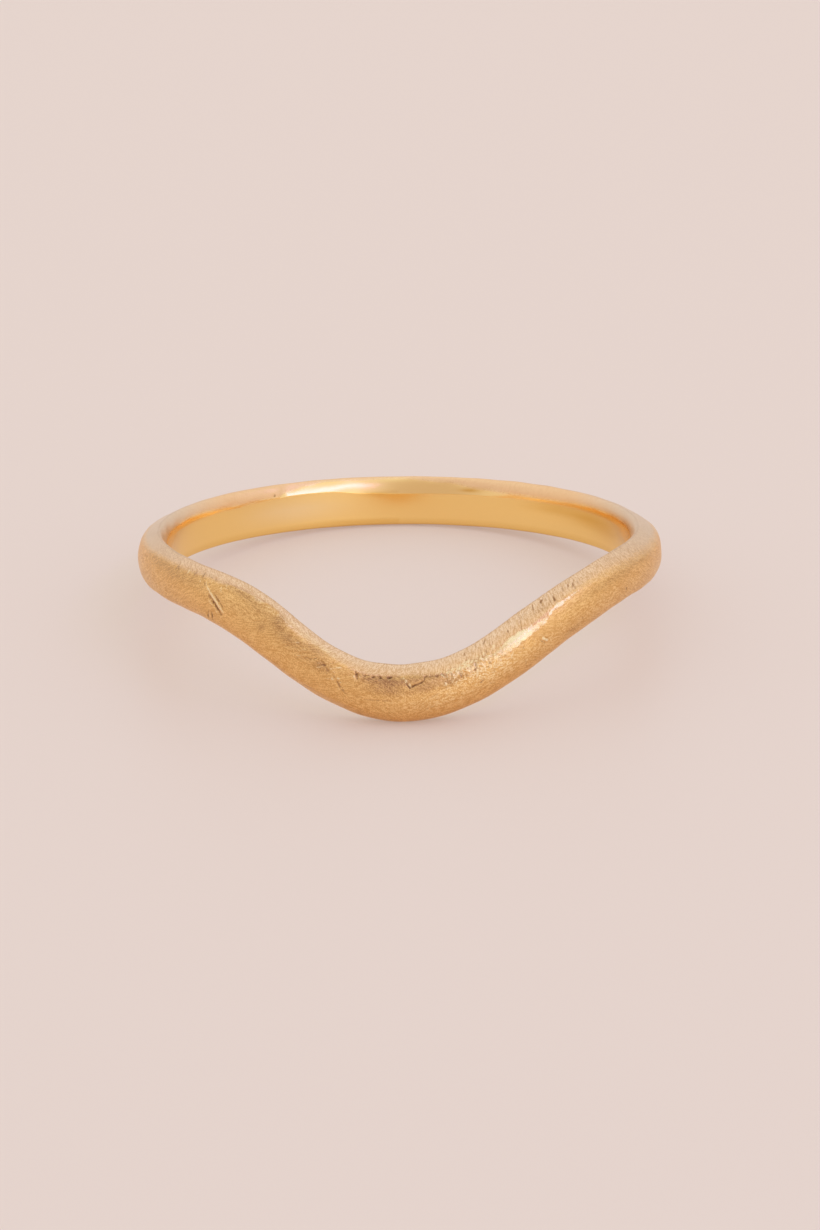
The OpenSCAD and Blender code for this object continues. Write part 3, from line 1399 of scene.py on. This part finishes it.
def gold_roughness(tree, finish, masks, grain):
    """Roughness: uneven with the grain where the gold is filed, lower where it is burnished,
    and lowest in the bore."""
    least = finish.filed_roughness - ROUGHNESS_SPREAD
    most = finish.filed_roughness + ROUGHNESS_SPREAD
    filed = ranged(tree, grain, *EFFECTS["roughness"], least, most)
    rough = mixed_number(tree, masks.burnished, filed, BURNISHED_ROUGHNESS)
    wall = finish.bore_roughness
    bore = ranged(tree, field(tree, "bevel"), 0.0, 1.0, wall, wall + BEVEL_ROUGHER)
    return mixed_number(tree, masks.polished, rough, bore)


def gold_material(finish):
    """Gold: filed outside and polished in the bore. Where the mesh says so, brown stains with
    painted shade and painted dark reflections lie over both, and in places a painted pale
    reflection."""
    material = bpy.data.materials.new("gold_filed_and_polished")
    material.use_nodes = True
    tree = material.node_tree
    tree.nodes.clear()
    masks = gold_masks(tree)
    height, grain = file_grain(tree, masks)
    filed, bore = filed_colour(tree, finish, masks, height), bore_colour(tree, finish)
    colour = mixed(tree, masks.polished, filed, bore)
    # Brown tarnish, partly real and partly painted shade and dark reflections in the bore
    tarnish_and_shade = effect(tree, "tarnish_and_shade", field(tree, "tarnish_shade_and_shine"))
    colour = tinted(tree, tarnish_and_shade, colour, finish.tarnish_and_shade)
    # Painted reflection: a pale sheen laid on the wall where the field falls below 0
    painted_reflection = effect(tree, "painted_reflection", field(tree, "tarnish_shade_and_shine"))
    inputs = {
        "Base Color": tinted(tree, painted_reflection, colour, finish.bright),
        "Metallic": 1.0,
        "Roughness": gold_roughness(tree, finish, masks, grain),
        "Normal": grain_bump(tree, finish, masks, height),
    }
    shader = shader_node(tree, "BsdfPrincipled", {}, inputs)
    output = shader_node(tree, "OutputMaterial")
    tree.links.new(shader.outputs["BSDF"], output.inputs["Surface"])
    return material


def floor_material(stage):
    """A plain pale floor that glows a little, so that shadows on it stay soft."""
    material = bpy.data.materials.new("pale_floor")
    material.use_nodes = True
    inputs = material.node_tree.nodes["Principled BSDF"].inputs
    lit = 1 - stage.floor_glow
    inputs["Base Color"].default_value = opaque([lit * part for part in stage.floor])
    inputs["Emission Color"].default_value = opaque(stage.floor)
    inputs["Emission Strength"].default_value = stage.floor_glow
    inputs["Roughness"].default_value = 0.5
    inputs["Specular IOR Level"].default_value = 0.5
    return material


def floor_mesh(radius, rings=24, spokes=96):
    """A round floor: rings whose radius grows with the cube of their number, by spokes."""
    reach = (radius * (np.arange(1, rings + 1) / rings) ** 3)[:, None]
    turn = 2 * np.pi * np.arange(spokes) / spokes
    points = np.stack([reach * np.cos(turn), reach * np.sin(turn), 0 * reach * turn], -1)
    points = np.vstack([points.reshape(-1, 3), [[0, 0, 0]]])
    i, j = np.meshgrid(np.arange(rings - 1), np.arange(spokes), indexing="ij")
    after = (j + 1) % spokes
    inner, outer = i * spokes, (i + 1) * spokes
    quads = np.stack([inner + j, outer + j, outer + after, inner + after], -1).reshape(-1, 4)
    spoke = np.arange(spokes)
    middle = np.stack([spoke, (spoke + 1) % spokes, np.full(spokes, rings * spokes)], -1)
    mesh = bpy.data.meshes.new("floor")
    mesh.from_pydata(points.tolist(), [], quads.tolist() + middle.tolist())
    return mesh


def add_object(name, data):
    """A new object in the scene, at the origin."""
    thing = bpy.data.objects.new(name, data)
    bpy.context.scene.collection.objects.link(thing)
    return thing


def pale_world(stage):
    """Light from all round that is palest overhead, with a bright window low down in front and
    a dark patch above the camera."""
    world = bpy.data.worlds.new("studio")
    world.use_nodes = True
    tree = world.node_tree
    place = shader_node(tree, "TexCoord").outputs["Generated"]
    share = ranged(tree, along_axis(tree, place, "Z"), *SKY_RISE)
    colour = tinted(tree, share, opaque(stage.horizon), stage.sky)
    for middle, edge, tint in (
        (WINDOW, WINDOW_EDGE, stage.window),
        (DARK_PATCH, DARK_PATCH_EDGE, stage.dark_patch),
    ):
        inputs = {0: place, 1: middle}
        towards = shader_node(tree, "VectorMath", {"operation": "DOT_PRODUCT"}, inputs)
        colour = tinted(tree, ranged(tree, towards.outputs["Value"], *edge), colour, tint)
    background = tree.nodes["Background"]
    tree.links.new(colour, background.inputs["Color"])
    background.inputs["Strength"].default_value = 1.0
    bpy.context.scene.world = world


def key_light(stage):
    """A long soft light in front of the ring, high up and to its right, that faces its middle."""
    light = bpy.data.lights.new("key", "AREA")
    light.shape = "RECTANGLE"
    light.size, light.size_y = KEY_SIZE
    light.energy = stage.key_power
    light.color = stage.key
    place = Vector(KEY_PLACE)
    towards = place.to_track_quat("Z", "Y").to_matrix().to_4x4()
    add_object("key", light).matrix_world = Matrix.Translation(place) @ towards


def photo_camera(stage):
    """The photograph's view of the ring, with the ring's middle a little off the centre."""
    data = bpy.data.cameras.new("camera")
    data.lens = stage.lens
    data.sensor_width = SENSOR_WIDTH
    data.shift_x, data.shift_y = (shift / LONG_SIDE_PX for shift in SHIFT_PX)
    data.clip_start, data.clip_end = CLIP
    camera = add_object("camera", data)
    back = Vector((0, -math.cos(stage.elevation), math.sin(stage.elevation)))
    centre = Vector(RING_MIDDLE) * MM
    turn = Matrix.Rotation(math.pi / 2 - stage.elevation, 4, "X")
    roll = Matrix.Rotation(stage.roll, 4, "Z")
    camera.matrix_world = Matrix.Translation(centre + back * stage.distance) @ turn @ roll
    bpy.context.scene.camera = camera


class BAND_OT_make_band(bpy.types.Operator):
    """Make the gold band in place of the plain ring"""

    bl_idname = "wedding_band.make_band"
    bl_label = "Band"

    def execute(self, context):
        shape, finish = context.scene.band_shape, context.scene.gold_finish
        band = add_object("gold_band", band_mesh(shape))
        band.data.materials.append(gold_material(finish))
        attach(band, "root")
        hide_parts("band")
        return {"FINISHED"}


class BAND_OT_make_stage(bpy.types.Operator):
    """Make the floor, the lights and the camera"""

    bl_idname = "wedding_band.make_stage"
    bl_label = "Stage"

    def execute(self, context):
        stage = context.scene.band_stage
        floor = add_object("floor", floor_mesh(stage.floor_radius))
        floor.data.materials.append(floor_material(stage))
        pale_world(stage)
        key_light(stage)
        photo_camera(stage)
        context.scene.view_settings.view_transform = "Standard"
        return {"FINISHED"}


class BAND_PT_panel(bpy.types.Panel):
    """Lists the steps and their settings"""

    bl_label = "Wedding band"
    bl_idname = "BAND_PT_panel"
    bl_space_type = "VIEW_3D"
    bl_region_type = "UI"
    bl_category = "Wedding band"

    def draw(self, context):
        for step in STEPS:
            self.layout.operator(step.bl_idname)
        for group in ("band_shape", "gold_finish", "band_stage"):
            box = self.layout.box()
            settings = getattr(context.scene, group)
            for name in settings.__annotations__:
                box.prop(settings, name)


GROUPS = {"band_shape": BandShape, "gold_finish": GoldFinish, "band_stage": StageSettings}
STEPS = (BAND_OT_make_band, BAND_OT_make_stage)


def register():
    """Registers the classes and gives the scene its settings."""
    for kind in (*GROUPS.values(), *STEPS, BAND_PT_panel):
        bpy.utils.register_class(kind)
    for name, kind in GROUPS.items():
        setattr(bpy.types.Scene, name, PointerProperty(type=kind))


def unregister():
    """Takes the settings and the classes away again."""
    for name in GROUPS:
        delattr(bpy.types.Scene, name)
    for kind in reversed((*GROUPS.values(), *STEPS, BAND_PT_panel)):
        bpy.utils.unregister_class(kind)


def main():
    """Makes the ring and its stage."""
    register()
    bpy.ops.wedding_band.make_band()
    bpy.ops.wedding_band.make_stage()


if __name__ == "__main__":
    main()
